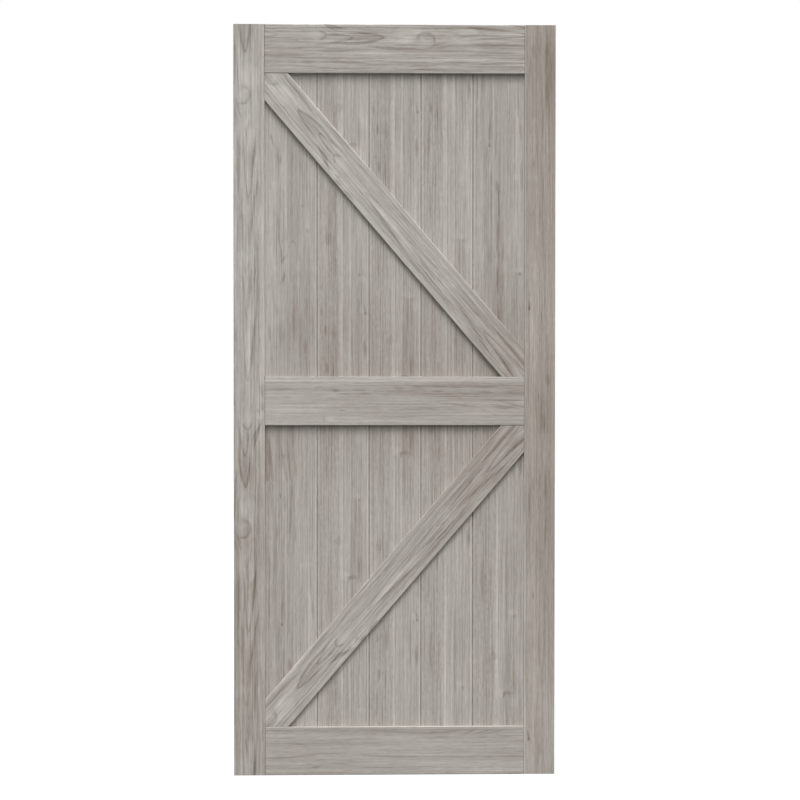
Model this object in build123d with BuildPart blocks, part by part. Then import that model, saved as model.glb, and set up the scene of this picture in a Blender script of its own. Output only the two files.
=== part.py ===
"""Sliding barn door slab with a framed plank panel and diagonal braces, in millimetres.

Two full-height stiles and three rails make the frame. A housing is ploughed round the inside of
each opening, and the tongued and grooved planks slide into it. Stub tenons on the rails fill the
same housing in the stiles, and a pair of long screws holds each rail end, under a flush plug.
Braces lie on the planks, corner to corner, on the front and on the back. A slot in the foot runs
over the floor guide.

The origin is the centre of the top edge, which the hangers carry. +Z is up, +X is to the right
seen from the front, and the front faces -Y.
"""

import os
from math import atan2, cos, degrees, hypot, radians

from build123d import *

# Slab
door_width = 914.4
door_height = 2133.6
door_thickness = 35.0

# Frame members, with the round that softens their long edges
stile_width = 88.0
rail_height = 138.0
frame_edge_radius = 2.0

# Panel of planks, and the housing that holds its edges in the frame
plank_count = 5
panel_thickness = 12.0
housing_depth = 12.0
housing_side_gap = 0.15
panel_end_gap = 1.5
tenon_end_gap = 0.5

# Joint from plank to plank
plank_gap = 0.4
plank_bevel = 2.4
tongue_length = 6.0
tongue_thickness = 3.6
tongue_side_gap = 0.15
tongue_end_gap = 0.6

# Braces
brace_width = 100.0
brace_thickness = 10.4
brace_edge_radius = 2.0
brace_fit_gap = 0.4

# Slot in the foot for the floor guide
guide_slot_width = 8.0
guide_slot_depth = 16.0

# Hexagon-headed screws that hold the rails, and the plugs over them
screw_spacing = 70.0
screw_head_flats = 10.0
screw_head_thickness = 4.0
screw_shank_diameter = 7.0
screw_length = 126.0
screw_point_length = 8.0
screw_clearance = 0.1
screw_end_gap = 2.0
socket_wall_room = 2.3
plug_thickness = 3.5
plug_clearance = 0.1

# Places that follow from the sizes above
foot_z = -door_height
opening_width = door_width - 2 * stile_width
opening_height = (door_height - 3 * rail_height) / 2
top_rail_z = -rail_height / 2
mid_rail_z = -door_height / 2
bottom_rail_z = foot_z + rail_height / 2
rail_step = rail_height + opening_height
upper_panel_z = top_rail_z - rail_step / 2
lower_panel_z = bottom_rail_z + rail_step / 2
housing_width = panel_thickness + 2 * housing_side_gap
counterbore_diameter = screw_head_flats / cos(radians(30)) + 2 * socket_wall_room
plug_diameter = counterbore_diameter - 2 * plug_clearance
screw_heights = [
    rail_z + offset
    for rail_z in (top_rail_z, mid_rail_z, bottom_rail_z)
    for offset in (-screw_spacing / 2, screw_spacing / 2)
]


def save(part, name):
    """Labels one finished piece and writes it to its own file."""
    part.label = name
    export_step(part, f"parts/{name}.step")


def make_guide_slot():
    """The space that the floor guide runs in, which is cut from the stiles and the bottom rail."""
    with BuildPart() as slot:
        with BuildSketch(Plane.XY.offset(foot_z)):
            Rectangle(door_width, guide_slot_width)
        extrude(amount=guide_slot_depth)
    return slot.part


def make_stile(side):
    """One stile: side is -1 on the left and 1 on the right."""
    outer_x = side * door_width / 2
    centre_x = outer_x - side * stile_width / 2
    inner_x = outer_x - side * stile_width
    with BuildPart() as stile:
        with BuildSketch(Plane.XY.offset(foot_z)) as section:
            with Locations((centre_x, 0)):
                Rectangle(stile_width, door_thickness)
            fillet(section.vertices(), frame_edge_radius)
            with Locations((inner_x + side * housing_depth / 2, 0)):
                Rectangle(housing_depth, housing_width, mode=Mode.SUBTRACT)
        extrude(amount=door_height)
        add(guide_slot, mode=Mode.SUBTRACT)
        for z in screw_heights:
            with Locations(Plane(origin=(outer_x, 0, z), z_dir=(side, 0, 0))):
                CounterBoreHole(
                    radius=screw_shank_diameter / 2 + screw_clearance,
                    counter_bore_radius=counterbore_diameter / 2,
                    counter_bore_depth=plug_thickness + screw_head_thickness,
                    depth=stile_width,
                )
    return stile.part


def make_rail(centre_z, housed_edges):
    """One rail with its stub tenons: housed_edges holds 1 for its upper edge and -1 for its lower."""
    tenon_length = housing_depth - tenon_end_gap
    tenon_low = centre_z - rail_height / 2 + (housing_depth if -1 in housed_edges else 0)
    tenon_high = centre_z + rail_height / 2 - (housing_depth if 1 in housed_edges else 0)
    tenon_end_x = opening_width / 2 + tenon_length
    screw_reach = plug_thickness + screw_head_thickness + screw_length + screw_end_gap
    pilot_depth = screw_reach - (door_width / 2 - tenon_end_x)
    with BuildPart() as rail:
        with BuildSketch(Plane.YZ) as section:
            with Locations((0, centre_z)):
                Rectangle(door_thickness, rail_height)
            fillet(section.vertices(), frame_edge_radius)
            for edge in housed_edges:
                with Locations((0, centre_z + edge * (rail_height - housing_depth) / 2)):
                    Rectangle(housing_width, housing_depth, mode=Mode.SUBTRACT)
        extrude(amount=opening_width / 2, both=True)
        with BuildSketch(Plane.YZ):
            with Locations((0, (tenon_low + tenon_high) / 2)):
                Rectangle(panel_thickness, tenon_high - tenon_low)
        extrude(amount=tenon_end_x, both=True)
        if centre_z == bottom_rail_z:
            add(guide_slot, mode=Mode.SUBTRACT)
        for side in (-1, 1):
            for offset in (-screw_spacing / 2, screw_spacing / 2):
                place = (side * tenon_end_x, 0, centre_z + offset)
                with Locations(Plane(origin=place, z_dir=(side, 0, 0))):
                    Hole(radius=screw_shank_diameter / 2 + screw_clearance, depth=pilot_depth)
    return rail.part


def make_plank(index, panel_z):
    """One plank of a panel, counted from 0 at the left: its joint faces are bevelled front and back."""
    pitch = opening_width / plank_count
    overlap = housing_depth - panel_end_gap
    length = opening_height + 2 * overlap
    first = index == 0
    last = index == plank_count - 1
    left_x = -opening_width / 2 + index * pitch
    right_x = left_x + pitch
    left_x += -overlap if first else plank_gap / 2
    right_x += overlap if last else -plank_gap / 2
    groove_depth = tongue_length - plank_gap + tongue_end_gap
    with BuildPart() as plank:
        with BuildSketch(Plane.XY.offset(panel_z - length / 2)) as section:
            with Locations(((left_x + right_x) / 2, 0)):
                Rectangle(right_x - left_x, panel_thickness)
            corners = section.vertices().sort_by(Axis.X)
            joint_corners = ([] if first else corners[:2]) + ([] if last else corners[2:])
            chamfer(joint_corners, plank_bevel)
            if not last:
                with Locations((right_x + tongue_length / 2, 0)):
                    Rectangle(tongue_length, tongue_thickness)
            if not first:
                with Locations((left_x + groove_depth / 2, 0)):
                    Rectangle(
                        groove_depth,
                        tongue_thickness + 2 * tongue_side_gap,
                        mode=Mode.SUBTRACT,
                    )
        extrude(amount=length)
    return plank.part


def make_brace(panel_z, rise, face):
    """One brace across a panel: rise is 1 where it climbs to the right, face is 1 in front, -1 behind."""
    slope = rise * degrees(atan2(opening_height, opening_width))
    reach = hypot(opening_height, opening_width) + brace_width
    with BuildPart() as brace:
        with BuildSketch(Plane.XZ.offset(face * panel_thickness / 2)):
            with Locations((0, panel_z)):
                Rectangle(opening_width - 2 * brace_fit_gap, opening_height - 2 * brace_fit_gap)
                Rectangle(reach, brace_width, rotation=slope, mode=Mode.INTERSECT)
        extrude(amount=face * brace_thickness)
        outer_face = brace.faces().filter_by(Axis.Y).sort_by(Axis.Y)[0 if face == 1 else -1]
        fillet(outer_face.edges().sort_by(SortBy.LENGTH)[-2:], brace_edge_radius)
    return brace.part


def make_screws(side):
    """The six screws through one stile: a hexagon head, and a pointed shank turned about its axis."""
    seat_x = door_width / 2 - plug_thickness - screw_head_thickness
    tip_x = seat_x - screw_length
    shank_radius = screw_shank_diameter / 2
    with BuildPart() as screws:
        for z in screw_heights:
            with BuildSketch(Plane(origin=(side * seat_x, 0, z), z_dir=(side, 0, 0))):
                RegularPolygon(radius=screw_head_flats / 2, side_count=6, major_radius=False)
            extrude(amount=screw_head_thickness)
            with BuildSketch(Plane.XZ):
                with BuildLine():
                    Polyline(
                        (side * seat_x, z),
                        (side * seat_x, z + shank_radius),
                        (side * (tip_x + screw_point_length), z + shank_radius),
                        (side * tip_x, z),
                        close=True,
                    )
                make_face()
            revolve(axis=Axis((0, 0, z), (1, 0, 0)))
    return screws.part


def make_plugs(side):
    """The six plugs that cover the screw heads, flush with one stile's outer edge."""
    outer_x = side * door_width / 2
    with BuildPart() as plugs:
        for z in screw_heights:
            with BuildSketch(Plane(origin=(outer_x, 0, z), z_dir=(side, 0, 0))):
                Circle(plug_diameter / 2)
            extrude(amount=-plug_thickness)
    return plugs.part


os.makedirs("parts", exist_ok=True)
guide_slot = make_guide_slot()

save(make_stile(-1), "left_stile")
save(make_stile(1), "right_stile")
save(make_rail(top_rail_z, [-1]), "top_rail")
save(make_rail(mid_rail_z, [-1, 1]), "mid_rail")
save(make_rail(bottom_rail_z, [1]), "bottom_rail")

for index in range(plank_count):
    save(make_plank(index, upper_panel_z), f"upper_plank_{index + 1}")
    save(make_plank(index, lower_panel_z), f"lower_plank_{index + 1}")

save(make_brace(upper_panel_z, -1, 1), "upper_brace_front")
save(make_brace(lower_panel_z, 1, 1), "lower_brace_front")
save(make_brace(upper_panel_z, -1, -1), "upper_brace_back")
save(make_brace(lower_panel_z, 1, -1), "lower_brace_back")

save(make_screws(-1), "left_frame_screws")
save(make_screws(1), "right_frame_screws")
save(make_plugs(-1), "left_cover_plugs")
save(make_plugs(1), "right_cover_plugs")
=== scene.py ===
"""Dresses the barn door slab: grey printed wood on every board, in a white studio.

Each board carries a printed wood grain. A print is laid out in steps of 2.842 mm, s along its
grain and t across it, and repeats every 433 steps. A board says how it lies on its print: which
way its grain runs, and which point of the print one of its own points shows. A tone is how light
the print is, from 0 at its darkest to 1 at its lightest, and a mark's tone is what it adds.
"""

from math import atan2, cos, degrees, radians, sin
from types import SimpleNamespace

import bpy
from mathutils import Euler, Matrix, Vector


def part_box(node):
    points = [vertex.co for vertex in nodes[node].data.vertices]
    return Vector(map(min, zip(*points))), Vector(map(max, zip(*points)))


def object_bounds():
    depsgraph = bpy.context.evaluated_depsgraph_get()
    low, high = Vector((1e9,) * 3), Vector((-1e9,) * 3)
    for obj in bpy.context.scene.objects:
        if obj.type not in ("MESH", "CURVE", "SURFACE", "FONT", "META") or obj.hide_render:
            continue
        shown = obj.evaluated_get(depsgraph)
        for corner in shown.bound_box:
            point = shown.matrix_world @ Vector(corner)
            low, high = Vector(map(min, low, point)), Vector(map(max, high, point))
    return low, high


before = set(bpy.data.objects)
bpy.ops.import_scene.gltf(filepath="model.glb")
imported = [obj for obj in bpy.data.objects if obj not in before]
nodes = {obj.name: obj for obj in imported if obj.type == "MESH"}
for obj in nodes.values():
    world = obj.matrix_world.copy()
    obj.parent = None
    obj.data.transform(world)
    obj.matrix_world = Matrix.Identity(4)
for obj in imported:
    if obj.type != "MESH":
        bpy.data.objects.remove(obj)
cad_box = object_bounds()

# Door, from the frame, in metres
door_low, door_high = (Vector(corner) for corner in cad_box)
stub_tenon = 0.0115
opening_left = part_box("bottom_rail")[0][0] + stub_tenon
opening_right = -opening_left
opening_width = opening_right - opening_left
top_rail_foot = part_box("top_rail")[0][2]
mid_rail_foot, mid_rail_top = (corner[2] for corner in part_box("mid_rail"))
bottom_rail_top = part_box("bottom_rail")[1][2]
plank_count = 5
plank_pitch = opening_width / plank_count
foot_z = door_low[2]
front_y = door_low[1]
panel_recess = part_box("upper_plank_2")[0][1] - front_y

# Guide slot, a little larger than it is, so that its own faces lie inside
slot_half_width = 0.00405
slot_depth = 0.0161

# Print: its steps, where it repeats, how much a pale mark shows beside a dark one, and how far past its
# width a mark fades
step_length = 0.002842
print_repeat = 433.0
broad_print_start = -60.0
pale_mark_share = 0.7
stroke_fade = 1.7

# Straight grain: how long and how wide the lumps of each layer are, in steps
ring_wander_size = (52.0, 5.0)
ring_fade_size = (70.0, 4.0)
band_size = (190.0, 7.0)
long_fibre_size = (150.0, 1.7)
short_fibre_size = (48.0, 1.05)
mottle_size = (9.0, 1.5)
pore_size = (6.0, 0.8)

# Straight grain: how far its rings wander, where in a ring its late wood starts and is darkest, and how
# much its layers change the tone
ring_wander = 0.35
late_start = 0.2
late_peak = 0.84
band_tone = 0.075
long_fibre_share = 0.5
short_fibre_share = 0.6
mottle_tone = 0.07
pore_tone = -0.12

# Film on the boards: the tone of its large patches, how much of a line's width is even, its sheen and relief
patch_tone = 0.05
line_core = 0.3
film_specular = 0.3
dark_film_roughness = 0.6
light_film_roughness = 0.48
relief_strength = 0.3
relief_depth = 0.0003

# How a board's grain runs, in degrees from +X, and the s of the door's top edge on most upright boards
upright = -90
level = 0
top_edge_s = 24.4

# Greys of the print from its darkest line to its lightest, as sRGB bytes: neutral ones, and browner ones
neutral_greys = [
    (109, 102, 94), (129, 121, 113), (146, 139, 132), (159, 154, 148), (173, 168, 162), (188, 183, 177),
    (201, 196, 190),
]
brown_greys = [
    (111, 101, 89), (131, 120, 109), (148, 139, 130), (161, 153, 145), (174, 168, 161), (188, 183, 176),
    (202, 197, 190),
]
darkest_grey = 100.0
lightest_grey = 196.0
ground_and_shade_mean = 0.6


def linear(byte):
    """One sRGB byte as scene-linear light."""
    value = byte / 255
    return value / 12.92 if value <= 0.04045 else ((value + 0.055) / 1.055) ** 2.4


def tone_of(grey):
    """Where an sRGB grey lies between the print's darkest and its lightest."""
    return (grey - darkest_grey) / (lightest_grey - darkest_grey)


class Graph:
    """Short calls that add shader nodes to a tree and join them up."""

    def __init__(self, tree):
        self.tree = tree

    def node(self, kind, **settings):
        node = self.tree.nodes.new(kind)
        for key, value in settings.items():
            setattr(node, key, value)
        return node

    def feed(self, socket, value):
        """Joins another node's output to a socket, or writes a plain value on it."""
        if isinstance(value, bpy.types.NodeSocket):
            self.tree.links.new(value, socket)
        else:
            socket.default_value = value

    def math(self, operation, *values):
        node = self.node("ShaderNodeMath", operation=operation)
        for socket, value in zip(node.inputs, values):
            self.feed(socket, value)
        return node.outputs[0]

    def add(self, first, second):
        return self.math("ADD", first, second)

    def times(self, *values):
        product = values[0]
        for value in values[1:]:
            product = self.math("MULTIPLY", product, value)
        return product

    def less(self, first, second):
        return self.math("SUBTRACT", first, second)

    def mix(self, base, factor, extra):
        """base + factor * extra."""
        return self.math("MULTIPLY_ADD", factor, extra, base)

    def change(self, value, start, end, low=0.0, high=1.0):
        """A smooth change from low to high as value goes from start to end."""
        node = self.node("ShaderNodeMapRange", interpolation_type="SMOOTHSTEP", clamp=False)
        numbers = {"Value": value, "From Min": start, "From Max": end, "To Min": low, "To Max": high}
        for name, number in numbers.items():
            self.feed(node.inputs[name], number)
        return node.outputs[0]

    def fall(self, value, start, end):
        """A smooth change from 1 to 0 as value goes from start to end."""
        return self.change(value, start, end, 1.0, 0.0)

    def vector(self, x, y, z=0.0):
        node = self.node("ShaderNodeCombineXYZ")
        for socket, value in zip(node.inputs, (x, y, z)):
            self.feed(socket, value)
        return node.outputs[0]

    def parts(self, vector):
        """A vector's outputs "X", "Y" and "Z"."""
        node = self.node("ShaderNodeSeparateXYZ")
        self.feed(node.inputs[0], vector)
        return node.outputs

    def place(self):
        """Where a point is, in metres."""
        return self.node("ShaderNodeTexCoord").outputs["Object"]

    def noise(self, s, t, length, width, seed, detail=2.0):
        """Cloudy noise, mostly between -1 and 1, in lumps of that length and width."""
        node = self.node("ShaderNodeTexNoise", noise_dimensions="3D")
        place = self.vector(self.times(s, 1 / length), self.times(t, 1 / width), seed)
        self.feed(node.inputs["Vector"], place)
        node.inputs["Scale"].default_value = 1.0
        node.inputs["Detail"].default_value = detail
        return self.math("MULTIPLY_ADD", node.outputs["Fac"], 4.0, -2.0)

    def speckle(self, scale):
        """Plain noise from 0 to 1, with that many lumps in a metre."""
        node = self.node("ShaderNodeTexNoise")
        self.feed(node.inputs["Vector"], self.place())
        node.inputs["Scale"].default_value = scale
        return node.outputs["Fac"]

    def chance(self, value, seed):
        """One even random number from 0 to 1 for each whole number."""
        node = self.node("ShaderNodeTexWhiteNoise", noise_dimensions="2D")
        self.feed(node.inputs["Vector"], self.vector(value, seed))
        return node.outputs["Value"]

    def shared(self, name, inputs, build):
        """The output of a group of nodes that build(graph, *inputs) makes once, fed with these inputs."""
        tree = bpy.data.node_groups.get(name)
        if tree is None:
            tree = bpy.data.node_groups.new(name, "ShaderNodeTree")
            for index in range(len(inputs)):
                tree.interface.new_socket(f"input_{index}", in_out="INPUT", socket_type="NodeSocketFloat")
            tree.interface.new_socket("result", in_out="OUTPUT", socket_type="NodeSocketFloat")
            inner = Graph(tree)
            entry = inner.node("NodeGroupInput")
            result = build(inner, *entry.outputs[:len(inputs)])
            inner.feed(inner.node("NodeGroupOutput").inputs[0], result)
        node = self.node("ShaderNodeGroup", node_tree=tree)
        for socket, value in zip(node.inputs, inputs):
            self.feed(socket, value)
        return node.outputs[0]

    def stroke(self, total, s, t, strength, start_s, start_t, end_s, end_t, bow, width, tone):
        """Adds one long mark that tapers to its ends and bows across the grain. width is half its own."""
        length = end_s - start_s
        along = (2 / length, -(start_s + end_s) / length)
        across = ((end_t - start_t) / 2, (start_t + end_t) / 2, bow)
        tone *= strength if tone < 0 else strength * pale_mark_share
        look = (1 / (stroke_fade * width), tone)
        return self.shared("stroke", (total, s, t) + along + across + look, add_stroke)

    def strokes(self, total, s, t, strength, marks):
        for mark in marks:
            total = self.stroke(total, s, t, strength, *mark)
        return total

    def arch(self, total, s, t, strength, tip_s, tip_t, low_side, high_side, reach, width, tone):
        """Adds one arch of a cathedral figure: a parabola, open towards lower s and soft on its inside."""
        sizes = (tip_s, tip_t, 1 / low_side, 1 / high_side, 1 / reach, 1 / width, tone * strength)
        return self.shared("arch", (total, s, t) + sizes, add_arch)

    def grain(self, s, t, seed, pitch, lines, fine=0.085):
        """Straight grain about tone 0. lines is how dark its rings are, fine how strong its fibres."""
        ring = self.mix(self.times(t, 1 / pitch), self.noise(s, t, *ring_wander_size, seed), ring_wander)
        index = self.math("FLOOR", ring)
        part = self.less(ring, index)
        late_wood = self.times(self.change(part, late_start, late_peak), self.fall(part, late_peak, 1.0))
        weight = self.math("POWER", self.chance(index, seed), 2.0)
        fade = self.change(self.noise(s, t, *ring_fade_size, seed + 3.1), -0.7, 0.6)
        bands = self.noise(s, t, *band_size, seed + 7.7)
        long_fibres = self.change(self.noise(s, t, *long_fibre_size, seed + 11.3, 0.0), -0.7, 0.7, -1.0)
        short_fibres = self.change(self.noise(s, t, *short_fibre_size, seed + 17.9, 1.0), -0.7, 0.7, -1.0)
        mottle = self.noise(s, t, *mottle_size, seed + 29.1, 1.0)
        pores = self.change(self.noise(s, t, *pore_size, seed + 23.3, 1.0), 0.5, 1.1)
        tone = self.times(late_wood, weight, fade, -lines)
        tone = self.mix(tone, bands, band_tone)
        tone = self.mix(tone, long_fibres, long_fibre_share * fine)
        tone = self.mix(tone, short_fibres, short_fibre_share * fine)
        tone = self.mix(tone, mottle, mottle_tone)
        return self.mix(tone, pores, pore_tone)


def add_stroke(graph, total, s, t, stretch, shift, rise, middle_t, bow, narrowness, tone):
    """One mark: along goes from -1 to 1 over its length, and it fades to its sides and to its ends."""
    along = graph.math("MULTIPLY_ADD", s, stretch, shift)
    taper = graph.times(along, along)
    middle = graph.mix(graph.math("MULTIPLY_ADD", along, rise, middle_t), graph.less(1.0, taper), bow)
    aside = graph.math("ABSOLUTE", graph.less(t, middle))
    return graph.mix(total, graph.fall(graph.mix(taper, aside, narrowness), 0.2, 1.0), tone)


def add_arch(graph, total, s, t, tip_s, tip_t, low_side, high_side, shortness, narrowness, tone):
    """One arch: its line is drawn by how far a point lies inside the parabola, square to it."""
    depth = graph.less(tip_s, s)
    aside = graph.less(t, tip_t)
    below = graph.times(graph.math("MINIMUM", aside, 0.0), low_side)
    above = graph.times(graph.math("MAXIMUM", aside, 0.0), high_side)
    opening = graph.add(below, above)
    bend = graph.times(opening, aside)
    slope = graph.times(opening, 2.0)
    steepness = graph.math("SQRT", graph.math("MULTIPLY_ADD", slope, slope, 1.0))
    inward = graph.times(graph.math("DIVIDE", graph.less(depth, bend), steepness), narrowness)
    line = graph.times(graph.change(inward, -0.6, 0.3), graph.fall(inward, 0.3, 2.6))
    legs = graph.fall(graph.times(depth, shortness), 0.5, 1.0)
    return graph.mix(total, graph.times(line, legs), tone)


# Broad print, with arches that point along +s, an eye and two knots. s runs from -60 to 373.
# An arch is its tip (s, t), how wide it opens to lower and to higher t, its reach, width and tone.
broad_arches = [
    (27, 10, 1.9, 0.95, 46, 1.1, -0.46), (-4, 9.2, 1.3, 1.0, 26, 1.1, -0.46),
    (-30, 12, 4.5, 3.0, 9, 1.0, -0.42), (172, 12.5, 0.55, 0.85, 74, 1.0, -0.36),
    (354, 12, 0.5, 0.85, 78, 1.0, -0.32), (275, 10.2, 0.6, 0.9, 30, 0.9, -0.22),
    (246, 10, 0.8, 1.2, 18, 0.9, -0.22),
]
# A stroke is where it starts (s, t), where it ends, its bow, half its width, and its tone
broad_strokes = [
    (-33, 12, -16, 11.8, 0, 1.2, -0.46), (-46, 28.5, -6, 16.8, -1.4, 1.0, -0.42),
    (-40, 26.5, -12, 14.4, -1.6, 0.9, -0.36), (-44, 2.4, 6, 4.6, 0.4, 0.9, -0.3),
    (96, 8.2, 113, 11.2, 0.2, 0.9, -0.28), (90, 14.4, 108, 11.5, 0, 0.8, -0.24),
    (100, 11.2, 124, 11.8, 0, 1.0, -0.28), (274, 8.8, 294, 11, 0.2, 0.9, -0.28),
    (266, 14.2, 286, 11.6, 0, 0.8, -0.24), (284, 10.8, 308, 11.3, 0, 1.0, -0.26),
    (144, 24.2, 210, 14.3, -0.6, 1.1, -0.38), (184, 16, 226, 13.2, 0, 1.9, -0.22),
    (154, 5.8, 232, 6.9, 0.3, 0.8, -0.42), (90, 3, 250, 3, 0, 2.2, -0.14),
    (102, 19.8, 156, 16.6, 0.3, 1.0, -0.4), (8, 22, 90, 22.6, 0, 0.7, -0.24),
    (80, 20.4, 134, 19.4, 0, 0.7, -0.2), (36, 25, 150, 24.2, 0.3, 0.8, -0.2),
    (198, 20.4, 268, 18.2, 0.5, 1.0, -0.28), (236, 17.2, 278, 13.3, 0, 0.9, -0.3),
    (226, 22.3, 306, 21, 0, 0.8, -0.24), (280, 20.6, 350, 16, -0.3, 1.2, -0.38),
    (352, 26, 373, 26.6, 0, 1.3, -0.4), (326, 22, 372, 23.4, 0, 0.9, -0.24),
    (-60, 26.6, -48, 27, 0, 1.2, -0.32), (-54, 20.6, -43, 24.8, 0, 0.9, -0.34),
    (-60, -3.5, 4, -3.8, 0, 0.8, -0.34), (-4, -3.9, 154, -5, 0.2, 0.8, -0.3),
    (2, 1.4, 74, -2.4, -0.4, 1.4, -0.48), (56, -1.8, 124, -2.4, 0, 2.0, -0.22),
    (32, 2.3, 68, 2.8, 0, 1.0, -0.34), (98, 2.6, 174, 2.8, 0, 1.5, -0.26),
    (114, -5.2, 168, -5.3, 0, 1.0, -0.28), (-60, -14, -38, -14.6, -0.3, 0.9, -0.38),
    (-48, -14.4, 24, -15.8, 0, 0.8, -0.34), (16, -16, 86, -15, 0, 0.8, -0.26),
    (78, -15.2, 116, -15.6, 0.6, 0.9, -0.4), (104, -16.5, 166, -17, 0, 0.8, -0.28),
    (42, -19, 86, -18.6, 0, 0.9, -0.38), (48, -22.3, 94, -22, 0, 0.9, -0.34),
    (-60, -21, 34, -20.5, 0, 0.7, -0.24), (-4, -18, 49, -18.4, 0, 0.7, -0.22),
    (70, -0.8, 85, 5.8, 0, 0.8, -0.42), (74, -1.0, 94, 6, 0.8, 0.8, -0.4),
    (78, -1.0, 104, 3.4, 0.6, 0.8, -0.26), (75.6, 7, 79, 7, 0, 3.4, -0.3),
    (64, 10.6, 76, 10.6, 0, 2.8, -0.26), (-14, 10, 30, 10, 0, 5.4, -0.24),
    (-52, 13, -32, 13, 0, 3.6, 0.14), (-50, 24, -40, 24, 0, 5.4, 0.22), (34, 14, 68, 15, 0, 8, 0.32),
    (24, 8.4, 62, 7.4, 0, 3, 0.24), (222, 6.6, 241, 6.6, 0, 6.4, 0.18),
    (173, 10, 191, 10, 0, 3.4, 0.18), (98, 14.8, 124, 14.8, 0, 2.6, 0.24),
    (138, 13, 170, 13, 0, 2.4, 0.3), (276, 15, 302, 15, 0, 2.4, 0.26),
    (318, 12.5, 352, 12.5, 0, 2.6, 0.22), (-40, -9.5, 170, -9.5, 0, 4.4, 0.32),
    (-60, -9, -10, -9, 0, 3.2, 0.16), (286, 10.4, 340, 10.4, 0, 5, 0.34), (84, 12, 130, 12, 0, 7, 0.24),
    (-34, 25, -8, 24, 0, 3, 0.2), (172, 25, 215, 25, 0, 3, 0.2), (120, 22, 160, 21, 0, 1.4, 0.16),
    (40, 18, 100, 17.5, 0, 1.4, 0.2),
]

# Fine print of most planks, in two strips that meet at t = 26.3, the first with a pale edge there.
# s runs from 0 to 433.
fine_strokes = [
    (-6, 9, 60, 9.8, 0.3, 0.8, -0.22), (10, 11, 54, 11, 0, 2.4, -0.16),
    (10, 18.2, 58, 18.6, 0, 0.9, -0.24), (98, 17.3, 128, 18.8, 0, 0.8, -0.26),
    (180, 17.5, 226, 17.5, 0, 0.8, -0.28), (216, 17.6, 266, 17.3, 0, 0.8, -0.3),
    (252, 18.6, 275, 19, 0, 1.2, -0.28), (222, 9.3, 249, 9.5, 0, 0.8, -0.3),
    (296, 16.5, 437, 16.8, 0, 0.7, -0.2), (374, 8.6, 420, 7, 0.4, 1.2, -0.34),
    (358, 10.4, 377, 10, 0, 1.3, -0.46), (323, 8.6, 336, 8.4, 0, 1.4, -0.36),
    (303, 5, 316, 4.4, 0, 1.2, -0.34), (320, 18, 341, 17.6, 0, 1.6, -0.34),
    (359, 16.8, 386, 16.6, 0, 0.9, -0.34), (100, 22, 113, 22, 0, 3.4, -0.26),
    (228, 11.5, 247, 11.5, 0, 3.2, -0.26), (-60, 33.2, 160, 32, 0, 1.2, 0.42),
    (120, 32.6, 330, 33.4, 0, 1.2, 0.4), (270, 32.6, 500, 33, 0, 1.2, 0.42),
    (296, 37, 450, 37.5, 0, 0.8, 0.16), (146, 36, 206, 36.5, 0, 0.8, -0.26),
    (196, 36.8, 264, 37, 0, 0.8, -0.2), (62, 39.8, 104, 38, 0, 1.0, -0.26),
    (90, 38, 136, 37.5, 0, 0.8, -0.16), (296, 26.8, 350, 26.8, 0, 0.9, -0.32),
    (356, 27.2, 420, 27.6, 0, 0.7, -0.24), (140, 26.9, 310, 26.9, 0, 0.7, -0.18),
    (-20, 26.9, 104, 26.9, 0, 0.7, -0.2), (308, 41, 349, 40.5, 0, 0.7, -0.24),
    (386, 41, 418, 41.5, 0, 0.7, -0.2), (334, 49, 355, 46.8, 0, 1.5, -0.44),
    (342, 49.5, 361, 47.8, 0, 1.2, -0.44), (300, 47, 315, 49, 0, 0.8, -0.34),
    (309.5, 48.8, 314.5, 48.8, 0, 1.1, -0.6), (141, 32.6, 150, 31.6, 0.4, 0.9, -0.55),
    (141, 36, 146.5, 36, 0, 5.4, -0.36), (118, 43.4, 147, 43, 0, 2.0, -0.3),
    (64, 42.6, 68.5, 42.6, 0, 1.1, -0.28), (271, 42.5, 276, 42.5, 0, 1.2, -0.28),
    (136, 29.4, 150, 28.6, 0, 3.2, 0.36), (58, 40, 66, 40, 0, 5.5, 0.24),
    (65, 47, 80, 47, 0, 2.8, 0.22), (273, 46, 283, 46, 0, 3.4, 0.24),
    (302, 44.6, 314, 45, 0, 2.2, 0.26), (106, 49, 136, 49, 0, 2.6, 0.22),
    (146, 42, 160, 43, 0, 4.4, 0.22), (224, 23, 252, 23, 0, 2.2, 0.2), (-10, 49, 60, 49, 0, 1.6, 0.14),
    (18, 46, 40, 44, 0, 0.9, -0.18), (400, 47, 440, 47, 0, 2.4, 0.1),
]

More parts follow.
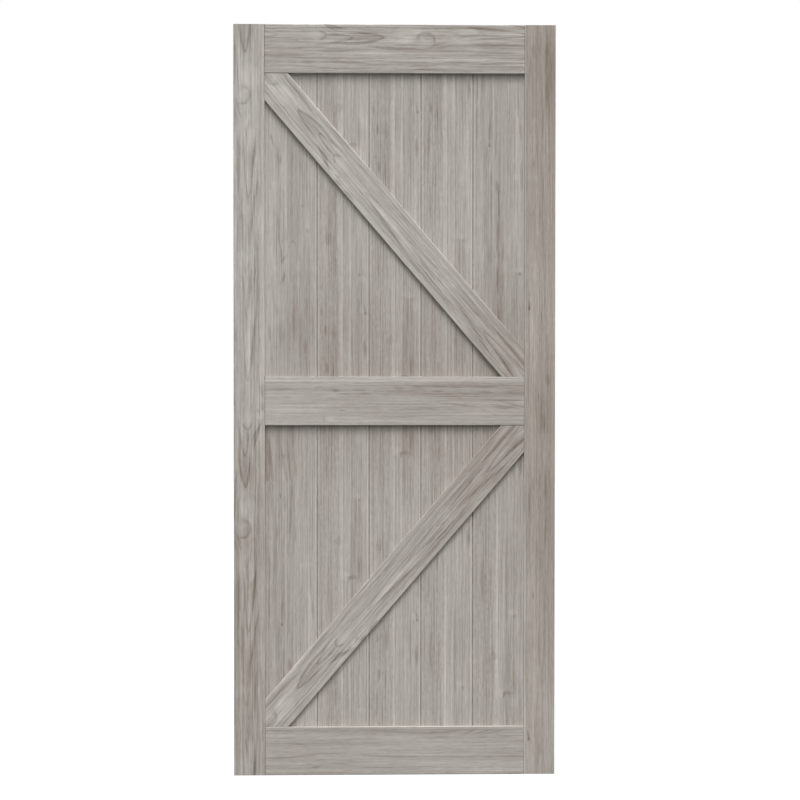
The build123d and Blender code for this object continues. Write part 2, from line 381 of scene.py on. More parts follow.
# Flamed print of one plank in each panel, with a brown band down its middle
flame_strokes = [
    (-20, 5.8, 36, 6.6, 0, 1.6, -0.3), (64, 4.4, 104, 4.8, 0, 1.0, -0.38),
    (96, 4.8, 154, 3.5, 0, 1.2, -0.28), (56, 9.8, 104, 10.4, 0, 1.0, -0.28),
    (94, 10.2, 156, 9.8, 0, 0.9, -0.24), (44, 12, 60, 12.4, 0, 1.2, -0.34),
    (10, 15, 18, 15.8, 0, 1.0, -0.34), (10, 19, 34, 20.2, 0, 1.4, -0.26),
    (24, 20, 148, 18.2, -0.4, 0.8, -0.38), (114, 18, 146, 16.8, 0, 1.5, -0.34),
    (141, 17, 147, 17, 0, 1.1, -0.62), (-10, 27, 30, 26.5, 0, 1.2, -0.34),
    (16, 26, 66, 24.8, 0, 0.9, -0.4), (56, 23.8, 86, 23, 0, 0.8, -0.38),
    (78, 22.6, 140, 23, 0.2, 0.8, -0.3), (126, 24.2, 164, 22.2, 0, 0.8, -0.28),
    (42, 30.8, 65, 30.4, 0, 1.0, -0.3), (-10, 28, 90, 27, 0, 3.2, -0.16),
    (150, 27, 440, 27, 0, 4.6, -0.2), (240, 27, 440, 27, 0, 4.4, -0.16),
    (164, 18.8, 194, 18.6, 0, 0.8, -0.38), (184, 18.6, 226, 18.8, 0, 0.8, -0.26),
    (176, 23.6, 196, 26.4, 0, 1.6, -0.46), (186, 26.2, 222, 26.8, 0, 1.0, -0.42),
    (212, 25.6, 254, 24.3, 0.5, 1.4, -0.46), (240, 25, 266, 27.2, 0, 1.2, -0.34),
    (240, 31, 265, 29.5, 0, 1.0, -0.42), (258, 25, 297, 26, -0.4, 1.3, -0.46),
    (262, 30.5, 300, 30.4, 0, 0.8, -0.4), (296, 25, 350, 27, 0.4, 1.2, -0.42),
    (140, 32.2, 440, 32.2, 0, 0.9, 0.22), (94, 36, 156, 38, 0, 1.5, -0.16),
    (190, 41, 226, 41, 0, 0.7, -0.2), (80, 46, 128, 46.6, -0.6, 1.0, -0.38),
    (114, 46.4, 144, 49.8, 0, 1.5, -0.26), (-20, 48.6, 92, 47.2, 0, 0.7, -0.3),
    (154, 49.5, 194, 50, -0.8, 1.4, -0.4), (270, 47.6, 275, 47.6, 0, 1.5, -0.58),
    (266, 44, 272, 44, 0, 6, 0.24), (170, 44, 180, 44, 0, 5, 0.2), (80, 42, 88, 42, 0, 6, 0.2),
    (240, 18, 266, 18, 0, 3, -0.18), (238, 13, 262, 9.8, 0, 1.0, 0.3),
    (214, 13.4, 244, 13, 0, 0.9, 0.24), (60, 15, 160, 14, 0, 2.2, 0.16),
    (32, 21.6, 160, 20.6, 0, 0.9, 0.2), (-10, 12, 40, 12, 0, 2, 0.2), (60, 44, 440, 44, 0, 6, 0.1),
    (372, 2, 450, 3, 0, 3.6, -0.4), (384, 3, 450, 9, 0.6, 1.6, -0.44),
    (392, 17, 440, 24, -1.6, 1.5, -0.46), (376, 22, 452, 30, -2.0, 1.3, -0.46),
    (372, 12, 424, 14, 1.0, 1.3, -0.36), (408, 19, 436, 18.4, 0, 3, 0.26),
    (408, 30, 440, 31.5, 0, 1.0, -0.34), (404, 19, 412, 20.6, 0, 3, -0.2),
]

# Print of the upper panel's first plank: a pale, sweeping strip, and an even one that darkens downwards,
# where one wide faint stroke paints shade towards the middle rail
sweep_strokes = [
    (144, 6, 190, 9.2, 0.3, 0.9, -0.34), (180, 9.2, 276, 8.6, 0, 0.9, -0.36),
    (264, 8, 306, 8.4, -0.7, 0.9, -0.34), (144, 11.6, 180, 15.6, 0.4, 0.9, -0.34),
    (170, 15.6, 220, 15.3, 0, 0.8, -0.26), (208, 14.5, 250, 14.8, 0, 0.9, -0.42),
    (240, 14.8, 266, 17.6, 0.5, 1.0, -0.42), (252, 22.2, 264, 15.8, 0, 1.5, -0.5),
    (270, 21, 285, 15, 0.6, 1.2, -0.46), (266, 20.2, 287, 18.8, 0, 1.3, -0.44),
    (227, 20.8, 243, 22, 0, 1.4, -0.34), (153, 16, 165, 15.6, 0, 1.5, -0.36),
    (220, 11.6, 270, 11.2, 0, 0.8, -0.26), (140, 18.6, 220, 18.6, 0, 2.8, 0.26),
    (150, 12, 215, 11.6, 0, 1.2, 0.18), (131, 5.4, 147, 9.8, 0, 1.1, -0.46),
    (133, 7, 140, 7, 0, 1.4, -0.4), (260, 16, 275, 16, 0, 5, 0.16), (124, 12, 150, 15, 0, 5, 0.16),
    (196, 27.6, 219, 27.6, 0, 0.7, -0.3), (180, 33.5, 268, 32.8, 0, 0.9, -0.28),
    (164, 36.5, 240, 36.4, 0, 0.9, 0.16), (144, 28, 176, 28.4, 0, 0.9, -0.2),
    (227, 42.5, 233, 42.5, 0, 1.2, -0.46), (221, 42.5, 228, 42.5, 0, 2.2, 0.34),
    (238, 28, 243, 28, 0, 1.0, -0.4), (203, 37, 207, 37, 0, 2.0, -0.28),
    (260, 29.8, 304, 30, 0, 1.0, -0.34), (288, 29.6, 350, 29, 0, 1.4, -0.48),
    (174, 48.6, 266, 48.8, 0, 0.8, -0.26), (256, 37.2, 306, 37.6, 0, 0.7, -0.24),
    # A wide faint stroke: painted shade above the middle rail
    (280, 30, 400, 31, 0, 22, -0.1), (308, 14.5, 358, 15.6, 0.6, 1.4, -0.46),
    (314, 18.8, 346, 19, 0, 1.1, -0.42), (294, 24.5, 366, 24.6, 0, 1.0, -0.34),
    (296, 33.5, 356, 33.5, 0, 1.0, -0.3), (300, 36.8, 356, 36.5, 0, 0.9, -0.3),
    (336, 40.5, 354, 40.2, 0, 1.6, -0.38), (322, 5, 344, 5, 0, 1.3, -0.38),
    (296, 47, 350, 47.5, 0.5, 1.0, -0.34), (340, 7, 380, 6.6, 0, 0.9, -0.3),
    (300, 11.2, 316, 12.2, 0, 1.2, -0.32), (296, 8, 334, 8, 0, 2.6, 0.18),
    (350, 18, 370, 20, 0, 3, 0.14),
]

# Straight print of the right stile, whose s is 24.4 at the top and whose t starts at its inner edge
stile_strokes = [
    (52, 6, 90, 4.2, 0, 0.9, -0.3), (24, 22.2, 76, 21.8, 0, 1.1, -0.3),
    (74, 22, 118, 21.6, 0, 1.0, -0.28), (20, 24.5, 120, 24.5, 0, 3.0, -0.16),
    (157, 9, 168, 9.2, 0, 1.1, -0.38), (296, 3.2, 310, 5.3, 0.4, 1.1, -0.5),
    (304, 4.6, 310, 4.8, 0, 1.2, -0.55), (308, 16.8, 325, 17, 0, 0.7, -0.34),
    (304, 14.2, 336, 14.4, 0, 0.7, -0.24), (188, 15.2, 238, 15.4, 0, 0.7, -0.24),
    (376, 11, 416, 11, 0, 0.8, -0.38), (391, 14, 401, 14, 0, 0.9, -0.34),
    (386, 17, 440, 17, 0, 0.8, -0.3), (410, 20, 433, 19.8, 0, 1.2, -0.34),
    (371, 24, 387, 24, 0, 2.2, -0.34), (90, 8.6, 128, 8.4, 0, 0.7, -0.2),
    (120, 12.4, 170, 12.6, 0, 0.7, -0.22), (214, 7.6, 262, 7.2, 0, 1.6, 0.22),
    (240, 9.8, 310, 9.4, 0, 1.2, 0.16), (310, 7, 350, 7.4, 0, 1.8, 0.18),
    (130, 5.6, 172, 5.4, 0, 1.4, 0.16), (225, 14.6, 290, 14.4, 0, 0.7, -0.22),
    (40, 9, 60, 9.4, 0, 1.4, -0.24), (30, 15.4, 60, 15.6, 0, 0.8, -0.24),
    (200, 11.6, 300, 11.4, 0, 4.4, 0.14), (380, 19, 470, 19, 0, 7, -0.14),
    (20, 14, 150, 14, 0, 24, -0.14), (235, 15, 390, 15, 0, 24, 0.2),
]

# Straight print of the middle rail, in s from its left end and t from its lower edge
mid_strokes = [
    (-120, 45, 380, 45, 0, 2.0, 0.74), (-120, 8, 380, 8, 0, 4.0, 0.22), (-6, 36, 34, 36, 0, 0.9, -0.4),
    (-6, 38.2, 36, 37.8, 0, 1.6, -0.24), (34, 29.6, 66, 29.4, 0, 0.9, -0.34),
    (62, 35.8, 79, 34.4, 0, 1.4, -0.36), (67, 34.2, 75, 34.2, 0, 1.5, -0.26),
    (70, 31.2, 88, 31.2, 0, 0.9, -0.3), (84, 35.4, 107, 35.4, 0, 0.9, -0.4),
    (93, 32, 107, 32, 0, 1.1, -0.3), (74, 31.5, 114, 31.4, 0, 0.8, -0.28),
    (47, 38, 59, 38.4, 0, 1.2, -0.26), (120, 34, 156, 33.6, 0, 0.7, -0.24),
    (126, 37, 144, 37, 0, 1.2, -0.32), (100, 35, 300, 33, 0, 9, -0.2),
    (147, 38.6, 161, 38.4, 0, 1.0, -0.36), (147, 36, 163, 36, 0, 1.0, -0.36),
    (164, 38.6, 184, 38.8, 0, 0.9, -0.38), (176, 38.2, 204, 37.8, 0, 0.9, -0.4),
    (165, 34.2, 181, 34.2, 0, 0.8, -0.38), (196, 38.4, 236, 38.6, 0, 1.0, -0.4),
    (211, 33.8, 232, 33, 0, 0.9, -0.4), (234, 34, 270, 32.4, 0, 2.0, -0.34),
    (170, 26, 222, 25.4, 0.3, 0.9, -0.4), (204, 26, 270, 23.6, 0.5, 1.0, -0.42),
    (226, 26, 270, 14.4, 1.0, 0.9, -0.42), (216, 22.4, 270, 12.8, 0.7, 0.9, -0.36),
    (228, 18.2, 248, 16.2, 0, 1.3, -0.38), (144, 17.5, 184, 14.9, 0.3, 0.9, -0.36),
    (166, 23, 222, 17.4, 0.3, 0.8, -0.34), (172, 15, 274, 13.2, 0, 0.7, -0.26),
    (168, 12, 274, 12.6, 0, 1.0, 0.22), (73, 15.2, 82, 14.8, 0, 1.2, -0.34),
    (-6, 7.6, 66, 7.8, 0, 0.7, -0.26), (78, 8.2, 160, 8, 0.3, 0.7, -0.36),
    (134, 16.8, 158, 15.2, 0, 0.8, -0.34), (58, 6.5, 72, 6.5, 0, 2.4, 0.3),
    (57, 7, 61, 7, 0, 3.2, -0.24), (-20, 17, 120, 17, 0, 9, 0.12), (-6, 22, 60, 22.4, 0, 0.7, -0.2),
    (10, 12, 56, 12, 0, 0.7, -0.2),
]

# Even print of the bottom rail, in s from its left end and t from its foot
bottom_strokes = [
    (-6, 18.4, 34, 17.6, 0, 1.4, -0.32), (22, 17.6, 56, 20.9, 0.2, 1.0, -0.4),
    (42, 20.9, 90, 20.9, 0.3, 0.9, -0.42), (76, 20.7, 138, 19.2, -0.2, 0.9, -0.34),
    (116, 19.3, 168, 18.8, 0, 0.7, -0.26), (46, 8.2, 56.5, 8.2, 0, 1.2, -0.55),
    (20, 8, 52, 16.5, -0.6, 1.5, 0.22), (76, 4.6, 91, 4.6, 0, 1.0, -0.28),
    (88, 45, 168, 41.4, 0.3, 1.0, -0.36), (142, 41.2, 212, 45.8, -0.6, 1.1, -0.42),
    (142, 37.4, 206, 39.2, -0.5, 1.2, -0.44), (194, 37.8, 216, 47.2, 0.3, 1.1, -0.46),
    (201, 37.6, 235, 47, 0.5, 1.0, -0.44), (210, 38, 250, 46.6, 0.6, 0.9, -0.4),
    (211, 37.6, 226, 37.8, 0, 0.9, -0.38), (222, 38.6, 262, 39, 0, 0.8, -0.3),
    (120, 42, 290, 42, 0, 6, -0.18), (16, 31.6, 44, 31.6, 0, 1.0, -0.26),
    (-6, 45, 34, 45, 0, 1.0, -0.24), (-6, 32.2, 130, 32.4, 0, 0.7, -0.2),
    (84, 36.8, 128, 36.6, 0, 0.7, -0.2), (210, 17, 262, 19.8, -0.3, 0.7, -0.28),
    (226, 13, 268, 15, 0, 0.7, -0.26), (40, 27, 140, 26, 0, 1.4, 0.12),
    (60, 13, 90, 10.6, 0, 0.8, -0.24), (130, 5.6, 160, 5.6, 0, 0.9, -0.24),
    (150, 35, 260, 34.6, 0, 1.2, 0.14), (160, 25, 260, 25.6, 0, 1.0, 0.1),
]


def shaken(graph, s, t, seed, amount):
    """The same t, moved a little across the grain, so that marks waver as real grain does."""
    long_waves = graph.noise(s, t, length=22.0, width=6.0, seed=seed, detail=3.0)
    short_waves = graph.noise(s, t, length=5.0, width=2.0, seed=seed + 2.0)
    return graph.mix(graph.mix(t, long_waves, 0.4 * amount), short_waves, 0.1 * amount)


def broad_tone(graph, s, t):
    """The broad print, with its arches, knots and eye."""
    strength = 0.58
    arch_widening = 1.45
    stroke_widening = 1.2
    turn = graph.math("WRAP", s, print_repeat + broad_print_start, broad_print_start)
    t = shaken(graph, s, t, seed=40.0, amount=1.3)
    tone = graph.grain(s, t, seed=1.3, pitch=3.4, lines=0.34, fine=0.15)
    for *shape, width, darkness in broad_arches:
        tone = graph.arch(tone, turn, t, strength, *shape, arch_widening * width, darkness)
    for *course, width, darkness in broad_strokes:
        tone = graph.stroke(tone, turn, t, strength, *course, stroke_widening * width, darkness)
    return add_eye(graph, tone, turn, t)


def add_eye(graph, tone, s, t):
    """The broad print's eye: a pale oval with a dark rim on the side of higher t."""
    centre_s, centre_t = 68.5, 8.4
    half_length, half_width = 8.4, 6.2
    along = graph.times(graph.less(s, centre_s), 1 / half_length)
    across = graph.times(graph.less(t, centre_t), 1 / half_width)
    reach = graph.math("SQRT", graph.add(graph.times(along, along), graph.times(across, across)))
    rim = graph.times(graph.change(reach, 0.6, 0.96), graph.fall(reach, 0.98, 1.3))
    rim = graph.times(rim, graph.change(t, 6.0, 10.5))
    tone = graph.mix(tone, graph.fall(reach, 0.3, 0.9), 0.12)
    return graph.mix(tone, rim, -0.2)


def plank_tone(graph, s, t, seam, strength, marks):
    """A plank's print in two strips: its tone, which strip it is from 0 to 1, and the shaken t."""
    half_seam = 0.15
    second_strip_shift = 57.0
    turn = graph.math("WRAP", s, print_repeat, 0.0)
    t = shaken(graph, s, t, seed=21.0, amount=0.6)
    second = graph.change(t, seam - half_seam, seam + half_seam)
    grain_t = graph.mix(t, second, second_strip_shift)
    tone = graph.grain(s, grain_t, seed=21.0, pitch=2.5, lines=0.24, fine=0.105)
    return graph.strokes(tone, turn, t, strength, marks), second, t


def fine_tone(graph, s, t):
    """Most planks: a mottled first strip that turns pale towards the seam, and an even second one."""
    tone, second, t = plank_tone(graph, s, t, seam=26.3, strength=0.45, marks=fine_strokes)
    first = graph.less(1.0, second)
    mottle = graph.noise(s, t, length=5.0, width=1.6, seed=77.0, detail=3.0)
    tone = graph.mix(tone, graph.times(mottle, first), mottle_tone)
    along_edge = graph.noise(s, 0.0, length=60.0, width=1.0, seed=5.0)
    edge_tone = graph.change(along_edge, -0.8, 0.6, low=0.12, high=0.28)
    edge = graph.times(graph.change(t, 20.6, 26.0), first)
    tone = graph.mix(tone, edge, edge_tone)
    return graph.mix(tone, second, 0.05)


def flame_tone(graph, s, t):
    """One plank in each panel, with flamed grain."""
    return plank_tone(graph, s, t, seam=22.0, strength=0.47, marks=flame_strokes)[0]


def sweep_tone(graph, s, t):
    """The upper panel's first plank, whose first strip is paler."""
    paler = 0.11
    tone, second = plank_tone(graph, s, t, seam=22.2, strength=0.38, marks=sweep_strokes)[:2]
    return graph.mix(tone, graph.less(1.0, second), paler)


def stile_tone(graph, s, t):
    """The right stile."""
    turn = graph.math("WRAP", s, print_repeat, 0.0)
    t = shaken(graph, s, t, seed=5.9, amount=0.7)
    tone = graph.grain(s, t, seed=5.9, pitch=2.7, lines=0.22, fine=0.1)
    return graph.strokes(tone, turn, t, strength=0.5, marks=stile_strokes)


def rail_tone(graph, s, t, seed, strength, marks):
    """The middle or the bottom rail, which is shorter than the print and shows it once."""
    t = shaken(graph, s, t, seed, amount=0.7)
    tone = graph.grain(s, t, seed, pitch=2.7, lines=0.22)
    return graph.strokes(tone, s, t, strength, marks)


def mid_tone(graph, s, t):
    """The middle rail."""
    return rail_tone(graph, s, t, seed=9.7, strength=0.46, marks=mid_strokes)


def bottom_tone(graph, s, t):
    """The bottom rail."""
    return rail_tone(graph, s, t, seed=14.2, strength=0.36, marks=bottom_strokes)


def new_material(name):
    """An empty material, and the graph to build it with."""
    material = bpy.data.materials.new(name)
    material.use_nodes = True
    material.node_tree.nodes.clear()
    return material, Graph(material.node_tree)


def show(graph, shader):
    """Puts a finished shader on the material's surface."""
    output = graph.node("ShaderNodeOutputMaterial")
    graph.feed(output.inputs["Surface"], shader.outputs[0])


def colour_ramp(graph, tone, greys):
    """The colours of the greys, evenly spread over the tones from 0 to 1."""
    ramp = graph.node("ShaderNodeValToRGB")
    graph.feed(ramp.inputs["Fac"], tone)
    stops = ramp.color_ramp.elements
    while len(stops) < len(greys):
        stops.new(0.5)
    for index, (stop, grey) in enumerate(zip(stops, greys)):
        stop.position = index / (len(greys) - 1)
        stop.color = [linear(byte) for byte in grey] + [1.0]
    return ramp.outputs["Color"]


def blend_colours(graph, factor, first, second):
    """first where factor is 0, and second where it is 1."""
    node = graph.node("ShaderNodeMix", data_type="RGBA")
    # The node's colour sockets share their names with those for numbers and vectors, and come after them
    factor_input, first_input, second_input, colour_output = 0, 6, 7, 2
    graph.feed(node.inputs[factor_input], factor)
    graph.feed(node.inputs[first_input], first)
    graph.feed(node.inputs[second_input], second)
    return node.outputs[colour_output]


def place_on_print(graph, board):
    """The print's s and t at each point of a board. The print wraps round its long edges."""
    where = graph.place()
    turn = radians(board.heading)
    s_axis = Vector((cos(turn), 0.0, sin(turn))) / step_length
    t_axis = Vector((-sin(turn), 1.0, cos(turn))) / step_length
    anchor = Vector((board.anchor[0], front_y, board.anchor[1]))
    results = []
    for axis, start in zip((s_axis, t_axis), board.print_at):
        node = graph.node("ShaderNodeVectorMath", operation="DOT_PRODUCT")
        graph.feed(node.inputs[0], where)
        node.inputs[1].default_value = axis
        results.append(graph.add(node.outputs["Value"], start - axis.dot(anchor)))
    return lay_on_ends(graph, where, results) if board.ends_show else results


def lay_on_ends(graph, where, results):
    """The same s and t, but by x and y on faces that look up or down."""
    steep = 0.8
    along = graph.parts(where)
    normal = graph.parts(graph.node("ShaderNodeNewGeometry").outputs["Normal"])
    on_end = graph.math("GREATER_THAN", graph.math("ABSOLUTE", normal["Z"]), steep)
    laid = []
    for result, axis in zip(results, ("X", "Y")):
        shift = graph.less(graph.times(along[axis], 1 / step_length), result)
        laid.append(graph.mix(result, on_end, shift))
    return laid


def add_lines(graph, tone, lines):
    """Upright lines on a board: each is its x, half its width, and its tone."""
    x = graph.parts(graph.place())["X"]
    for line_x, half_width, line_tone in lines:
        aside = graph.math("ABSOLUTE", graph.less(x, line_x))
        tone = graph.mix(tone, graph.fall(aside, line_core * half_width, half_width), line_tone)
    return tone


def add_pale_rim(graph, tone, t, highlight_t):
    """A painted highlight: one light line along the grain, a step wide to each side, on an upper edge."""
    edge_highlight_tone = 0.07
    aside = graph.math("ABSOLUTE", graph.less(t, highlight_t))
    return graph.mix(tone, graph.fall(aside, line_core, 1.0), edge_highlight_tone)


def ground_and_shade_tone(graph, board, s):
    """The tone under a board's figure, from its first grey to its second; on planks, partly painted shade.
    """
    start, end = (board.print_at[0] + place / step_length for place in board.span)
    first, second = (tone_of(grey) for grey in board.greys)
    return graph.change(s, start, end, first, second)


def film_colour(graph, board, s, t, ground_and_shade, figure, tone):
    """The colour of each tone, browner in clouds, in dark figure and on dark ground and painted shade."""
    figure_share = -0.6
    ground_and_shade_share = -6.0
    cloud = graph.noise(s, t, length=60.0, width=5.0, seed=board.seed + 41.0)
    cloud = graph.mix(cloud, figure, figure_share)
    cloud = graph.mix(cloud, graph.less(ground_and_shade, ground_and_shade_mean), ground_and_shade_share)
    brown = graph.change(cloud, -0.9, 1.0, *board.brown)
    neutral_colour = colour_ramp(graph, tone, neutral_greys)
    brown_colour = colour_ramp(graph, tone, brown_greys)
    return blend_colours(graph, brown, neutral_colour, brown_colour)


def bare_slot(graph, colour):
    """The bare brown board in the guide slot, where no film reaches."""
    specks_per_metre = 1400.0
    dark_brown, light_brown = (150, 124, 92), (186, 160, 126)
    place = graph.parts(graph.place())
    bare = colour_ramp(graph, graph.speckle(specks_per_metre), [dark_brown, light_brown])
    between = graph.math("LESS_THAN", graph.math("ABSOLUTE", place["Y"]), slot_half_width)
    low = graph.math("LESS_THAN", place["Z"], foot_z + slot_depth)
    return blend_colours(graph, graph.times(between, low), colour, bare)


def faint_relief(graph, s, t, seed):
    """Fibres pressed into the film, a fraction of a millimetre deep."""
    relief = graph.node("ShaderNodeBump")
    relief.inputs["Strength"].default_value = relief_strength
    relief.inputs["Distance"].default_value = relief_depth
    graph.feed(relief.inputs["Height"], graph.noise(s, t, length=30.0, width=0.7, seed=seed + 11.3))
    return relief.outputs["Normal"]


def printed_wood(name, board):
    """The printed film on one board: its colour, its sheen and a faint relief."""
    material, graph = new_material(name)
    s, t = place_on_print(graph, board)
    figure = graph.shared(board.figure.__name__, (s, t), board.figure)
    # The ground drifts along the board; on the planks it is partly painted shade near the middle rail
    ground_and_shade = ground_and_shade_tone(graph, board, s)
    patches = graph.noise(s, t, length=130.0, width=34.0, seed=board.seed + 31.0)
    tone = graph.mix(graph.add(ground_and_shade, figure), patches, patch_tone)
    tone = add_lines(graph, tone, board.lines)
    # Painted highlight along an upper edge, on the boards that have one
    if board.pale_rim is not None:
        tone = add_pale_rim(graph, tone, t, board.pale_rim)
    colour = film_colour(graph, board, s, t, ground_and_shade, figure, tone)
    if board.slotted:
        colour = bare_slot(graph, colour)
    shader = graph.node("ShaderNodeBsdfPrincipled")
    graph.feed(shader.inputs["Base Color"], colour)
    roughness = graph.change(tone, 0.1, 0.9, dark_film_roughness, light_film_roughness)
    graph.feed(shader.inputs["Roughness"], roughness)
    shader.inputs["Specular IOR Level"].default_value = film_specular
    graph.feed(shader.inputs["Normal"], faint_relief(graph, s, t, board.seed))
    show(graph, shader)
    return material


def plain_material(name, dark, light, roughness, metallic, speck_size):
    """A speckled metal or plastic."""
    material, graph = new_material(name)
    speckled = colour_ramp(graph, graph.speckle(1 / speck_size), [dark, light])
    shader = graph.node("ShaderNodeBsdfPrincipled")
    graph.feed(shader.inputs["Base Color"], speckled)
    shader.inputs["Roughness"].default_value = roughness
    shader.inputs["Metallic"].default_value = metallic
    show(graph, shader)
    return material


def lay_board(figure, heading, anchor, print_at, span, greys, seed=1.3, brown=(0.0, 0.8), lines=(),
              pale_rim=None, ends_show=False, slotted=False):
    """How one board lies on its print: its grain runs along heading, and anchor shows the point print_at.

    Its ground, which on the planks is partly painted shade, drifts from the first grey to the second over
    span, two distances from anchor along the grain. brown is how brown it is at least and at most,
    pale_rim is the t of a painted highlight along the grain on an upper edge, and ends_show is for
    a board whose end faces are seen.
    """
    return SimpleNamespace(
        figure=figure, heading=heading, anchor=anchor, print_at=print_at, span=span, greys=greys,
        seed=seed, brown=brown, lines=lines, pale_rim=pale_rim, ends_show=ends_show, slotted=slotted,
    )


def give(name, material):
    """Makes a material a node's only one."""
    mesh = nodes[name].data
    mesh.materials.clear()
    mesh.materials.append(material)


def dress(name, board):
    """Gives a node the printed wood of its board."""
    give(name, printed_wood(name + "_wood", board))


def dress_stiles():
    """The left stile, in the broad print, and the right one, in a straight print of its own."""
    # Painted highlights along both stiles' inner rounded edges; the right stile is also darker towards its
    # outer edge
    left_edge_highlights = ((opening_left - 0.007, 0.009, 0.02), (opening_left, 0.003, 0.14))
    right_darkening_and_edge_highlight = ((door_high[0] - 0.01, 0.05, -0.06), (opening_right + 0.001, 0.004, 0.2))
    dress("left_stile", lay_board(
        broad_tone, upright, anchor=(door_low[0], 0.0), print_at=(-1.6, -2.1), span=(0.9, 1.4),
        greys=(168, 152), lines=left_edge_highlights, ends_show=True, slotted=True,
    ))
    dress("right_stile", lay_board(
        stile_tone, upright, anchor=(opening_right, 0.0), print_at=(top_edge_s, 0.0), span=(0.0, 2.1),
        greys=(147, 151), seed=5.9, brown=(0.3, 1.0), lines=right_darkening_and_edge_highlight, ends_show=True, slotted=True,
    ))


def dress_rails():
    """The three rails, with a dark line where each meets a stile, and a painted highlight on the top rail.
    """
    joints = ((opening_left, 0.003, -0.34), (opening_right, 0.0026, -0.18))
    # The top rail has a painted highlight near its top edge
    dress("top_rail", lay_board(
        broad_tone, level, anchor=(0.0, 0.0), print_at=(470.6, 22.6), span=(-0.4, 0.4),
        greys=(161, 160), lines=joints, pale_rim=20.6,
    ))
    dress("mid_rail", lay_board(
        mid_tone, level, anchor=(opening_left, mid_rail_foot), print_at=(0.0, 0.0),
        span=(0.0, 0.6 * opening_width), greys=(166, 157), seed=9.7, brown=(0.0, 0.9), lines=joints,
    ))
    dress("bottom_rail", lay_board(
        bottom_tone, level, anchor=(opening_left, foot_z), print_at=(0.0, 0.0),
        span=(0.0, opening_width), greys=(160, 162), seed=14.2, lines=joints, slotted=True,
    ))


def dress_braces():
    """Every brace shows the same piece of the broad print, turned to its slope."""
    slope = degrees(atan2(top_rail_foot - mid_rail_top, opening_width))
    upper_middle = (top_rail_foot + mid_rail_top) / 2
    lower_middle = (mid_rail_foot + bottom_rail_top) / 2
    ends = ((opening_left, 0.002, -0.15), (opening_right, 0.002, -0.15))
    upper_at, lower_at = (310.0, 10.9), (311.0, 10.1)
    # A painted highlight runs along each brace's upper edge, edge_t steps from its middle
    edge_t = 17.2
    for side in ("front", "back"):
        dress("upper_brace_" + side, lay_board(
            broad_tone, 180 - slope, anchor=(0.0, upper_middle), print_at=upper_at, span=(-0.5, -0.1),
            greys=(151, 169), lines=ends, pale_rim=upper_at[1] - edge_t,
        ))
        dress("lower_brace_" + side, lay_board(
            broad_tone, 180 + slope, anchor=(0.0, lower_middle), print_at=lower_at, span=(-0.4, 0.05),
            greys=(149, 163), lines=ends, pale_rim=lower_at[1] - edge_t,
        ))


def plank_lines(panel, index):
    """Painted highlights and shade by a plank's joints; a pale band on the lower panel's first plank."""
    left = opening_left + index * plank_pitch
    right = left + plank_pitch
    # Painted shade beside the frame, and painted shade and highlights on the bevels at each groove
    painted_frame_shade = ((left + 0.004, 0.006, -0.08),)
    painted_bevel_light_and_shade = ((left + 0.0014, 0.0024, -0.15), (left + 0.006, 0.003, 0.09))
    painted_bevel_highlights = ((right - 0.0045, 0.003, 0.06), (right - 0.0014, 0.0026, 0.42))
    band = ((left + 0.105, 0.06, 0.06),)
    lines = (painted_bevel_light_and_shade if index else painted_frame_shade) + painted_bevel_highlights
    return lines + band if (panel, index) == ("lower", 0) else lines


def dress_planks():
    """Each panel's planks, left to right: their print, how far along it they start, and their two greys.

    The greys are those above and below a stretch, given by its two distances from the door's top. They
    darken each panel's planks towards the middle rail: painted shade, on top of each plank's own print tone.
    """
    panels = {
        "upper": ((0.6, 0.95), (
            (sweep_tone, 0, (161, 159)), (fine_tone, 0, (160, 152)), (fine_tone, 201, (160, 147)),
            (fine_tone, 260, (160, 147)), (flame_tone, 0, (162, 152)),
        )),
        "lower": ((1.12, 1.4), (
            (flame_tone, -480, (153, 158)), (fine_tone, 0, (150, 156)), (fine_tone, 125, (145, 158)),
            (fine_tone, 244, (145, 159)), (fine_tone, 316, (150, 156)),
        )),
    }
    for panel, (span, planks) in panels.items():
        for index, (figure, start, greys) in enumerate(planks):
            left = opening_left + index * plank_pitch
            print_at = (top_edge_s + start, -panel_recess / step_length)
            dress(f"{panel}_plank_{index + 1}", lay_board(
                figure, upright, anchor=(left, 0.0), print_at=print_at, span=span, greys=greys,
                seed=21.0, lines=plank_lines(panel, index),
            ))


def dress_fixings():
    """The screws and the plugs over them."""
    zinc = plain_material(
        "zinc", dark=(150, 153, 158), light=(188, 190, 194), roughness=0.32, metallic=1.0,
        speck_size=0.002,
    )
    plug = plain_material(
        "grey_plastic", dark=(148, 142, 134), light=(162, 156, 149), roughness=0.5, metallic=0.0,
        speck_size=0.0008,
    )
    for side in ("left", "right"):
        give(side + "_frame_screws", zinc)
        give(side + "_cover_plugs", plug)


def add_floor():
    """A white floor at the door's foot, white to the camera but for the door's soft shadow."""
    reach = 14.0
    grey = 0.16
    lift_to_white = 0.84
    mesh = bpy.data.meshes.new("floor")
    ways = ((-1, -1), (1, -1), (1, 1), (-1, 1))
    corners = [(reach * x, reach * y, foot_z) for x, y in ways]
    mesh.from_pydata(corners, [], [(0, 1, 2, 3)])
    floor = bpy.data.objects.new("floor", mesh)
    bpy.context.scene.collection.objects.link(floor)
    material, graph = new_material("floor_white")
    diffuse = graph.node("ShaderNodeBsdfDiffuse")
    diffuse.inputs["Color"].default_value = (grey, grey, grey, 1.0)
    lift = graph.node("ShaderNodeEmission")
    seen = graph.node("ShaderNodeLightPath").outputs["Is Camera Ray"]
    graph.feed(lift.inputs["Strength"], graph.times(seen, lift_to_white))
    both = graph.node("ShaderNodeAddShader")
    graph.feed(both.inputs[0], diffuse.outputs[0])
    graph.feed(both.inputs[1], lift.outputs[0])
    show(graph, both)
    mesh.materials.append(material)


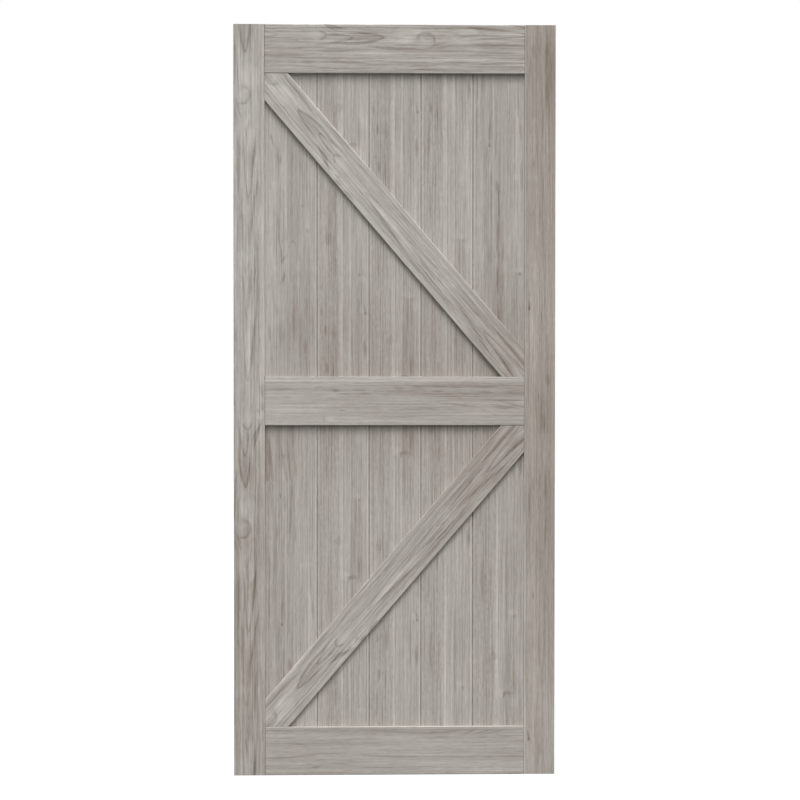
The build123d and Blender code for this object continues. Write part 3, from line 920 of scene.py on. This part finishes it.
def add_world(ambient):
    """Even light from all round, and white where the camera or a reflection sees past the floor."""
    world = bpy.data.worlds.new("studio")
    world.use_nodes = True
    bpy.context.scene.world = world
    graph = Graph(world.node_tree)
    background = world.node_tree.nodes["Background"]
    background.inputs["Color"].default_value = (1.0, 1.0, 1.0, 1.0)
    paths = graph.node("ShaderNodeLightPath")
    mirrored = graph.math("MAXIMUM", paths.outputs["Is Glossy Ray"], paths.outputs["Is Transmission Ray"])
    seen = graph.math("MAXIMUM", paths.outputs["Is Camera Ray"], mirrored)
    graph.feed(background.inputs["Strength"], graph.math("MULTIPLY_ADD", seen, 1 - ambient, ambient))


def add_lamp(name, direction, strength, spread):
    """One broad, soft light that shines in the given direction. Its spread is in degrees."""
    data = bpy.data.lights.new(name, "SUN")
    data.energy = strength
    data.angle = radians(spread)
    lamp = bpy.data.objects.new(name, data)
    lamp.rotation_euler = Vector(direction).to_track_quat("-Z", "Y").to_euler()
    bpy.context.scene.collection.objects.link(lamp)


def add_lamps():
    """Three keys from above the camera, at three heights, and lights for the sides and the back."""
    add_lamp("key_low", direction=(-0.08, 1.0, -1.0), strength=1.36, spread=56.0)
    add_lamp("key_middle", direction=(-0.06, 0.56, -1.0), strength=1.42, spread=28.0)
    add_lamp("key_high", direction=(-0.04, 0.36, -1.0), strength=1.4, spread=22.0)
    add_lamp("right", direction=(-1.0, 0.0, -0.5), strength=1.7, spread=24.0)
    add_lamp("left", direction=(1.0, 0.0, -0.5), strength=1.0, spread=24.0)
    add_lamp("back", direction=(-0.15, -0.9, -0.3), strength=2.3, spread=40.0)


def add_camera():
    """The photograph's view: nearly square on, from a little left of the door's middle."""
    tilt_down, roll, turn_right = 1.492, 0.02, 1.78
    data = bpy.data.cameras.new("camera")
    data.sensor_width = 36.0
    data.lens = 110.61
    data.clip_end = 100.0
    camera = bpy.data.objects.new("camera", data)
    camera.location = (-0.202, -7.0, -0.8817)
    camera.rotation_euler = Euler((radians(90 - tilt_down), radians(-roll), radians(-turn_right)), "XYZ")
    bpy.context.scene.collection.objects.link(camera)
    bpy.context.scene.camera = camera


add_camera()
add_floor()
add_world(ambient=0.15)
add_lamps()
dress_stiles()
dress_rails()
dress_braces()
dress_planks()
dress_fixings()
bpy.context.scene.view_settings.view_transform = "Standard"
